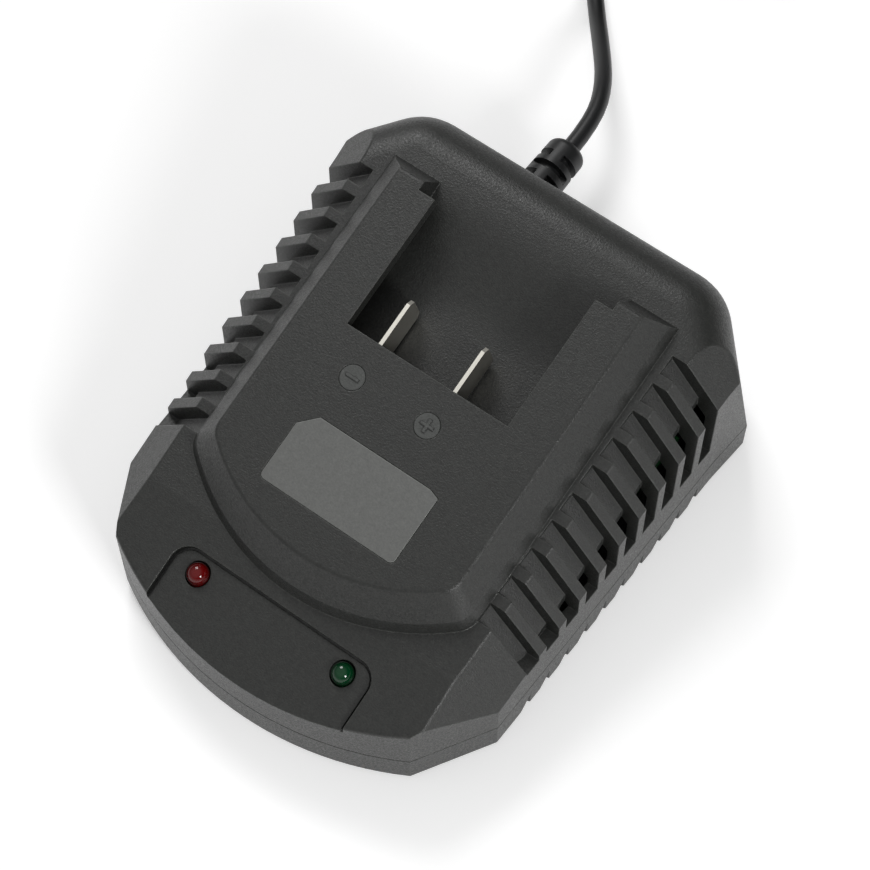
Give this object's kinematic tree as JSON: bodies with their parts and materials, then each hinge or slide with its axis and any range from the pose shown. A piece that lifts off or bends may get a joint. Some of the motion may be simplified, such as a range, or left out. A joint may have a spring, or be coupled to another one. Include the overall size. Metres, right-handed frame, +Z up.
{
  "type": "power tool battery charger",
  "caption": "Wedge-shaped charger with a tilted slide-on battery dock, vented flanks, red and green indicators and a coiled mains lead.",
  "frame": {"origin": "on the resting plane under the middle of the housing, lead and plug left out", "axes": "+Z up, +Y towards the mains lead, +X to the right seen from the indicators"},
  "size_m": [0.1289, 0.2917, 0.0586],
  "materials": {
    "housing": "fine spark-eroded texture, charcoal",
    "label": "smooth satin charcoal plate",
    "badge": "fine texture, dark grey",
    "red_lens": "clear red epoxy, polished",
    "green_lens": "clear green epoxy, polished",
    "contact_metal": "nickel-plated brass sheet",
    "holder": "moulded nylon",
    "board": "green solder mask",
    "ferrite": "sintered ferrite",
    "winding_tape": "yellow polyester tape",
    "capacitor_sleeve": "dark shrink sleeve",
    "choke_wire": "enamelled copper",
    "film_box": "moulded yellow box",
    "chip_epoxy": "black epoxy",
    "sink_metal": "extruded, plain",
    "fuse_glass": "clear tube with plated caps",
    "wire_sheath": "PVC insulation",
    "screw_steel": "zinc-plated",
    "foot_rubber": "moulded",
    "cord_pvc": "black PVC, satin",
    "plug_pin": "nickel-plated brass"
  },
  "bodies": {
    "root": {"upper_housing": "housing", "lower_housing": "housing", "label_plate": "label", "minus_badge": "badge", "plus_badge": "badge", "red_led": "red_lens", "green_led": "green_lens", "terminal_block": "holder", "negative_terminal": "contact_metal", "positive_terminal": "contact_metal", "circuit_board": "board", "transformer_core": "ferrite", "transformer_winding": "winding_tape", "bulk_capacitor": "capacitor_sleeve", "output_capacitors": "capacitor_sleeve", "mains_choke": "choke_wire", "film_capacitor": "film_box", "bridge_rectifier": "chip_epoxy", "heat_sink": "sink_metal", "switching_transistor": "chip_epoxy", "optocoupler": "chip_epoxy", "control_chips": "chip_epoxy", "mains_fuse": "fuse_glass", "mains_wires": "wire_sheath", "output_leads": "wire_sheath", "board_screws": "screw_steel", "housing_screws": "screw_steel", "clamp_screws": "screw_steel", "cord_clamp": "holder", "rubber_feet": "foot_rubber", "strain_relief": "cord_pvc", "cord_tail": "cord_pvc", "mains_cord": "cord_pvc", "cord_coil": "cord_pvc", "coil_tie": "cord_pvc", "plug_lead": "cord_pvc", "plug_body": "cord_pvc", "plug_pins": "plug_pin"}
  },
  "joints": []
}
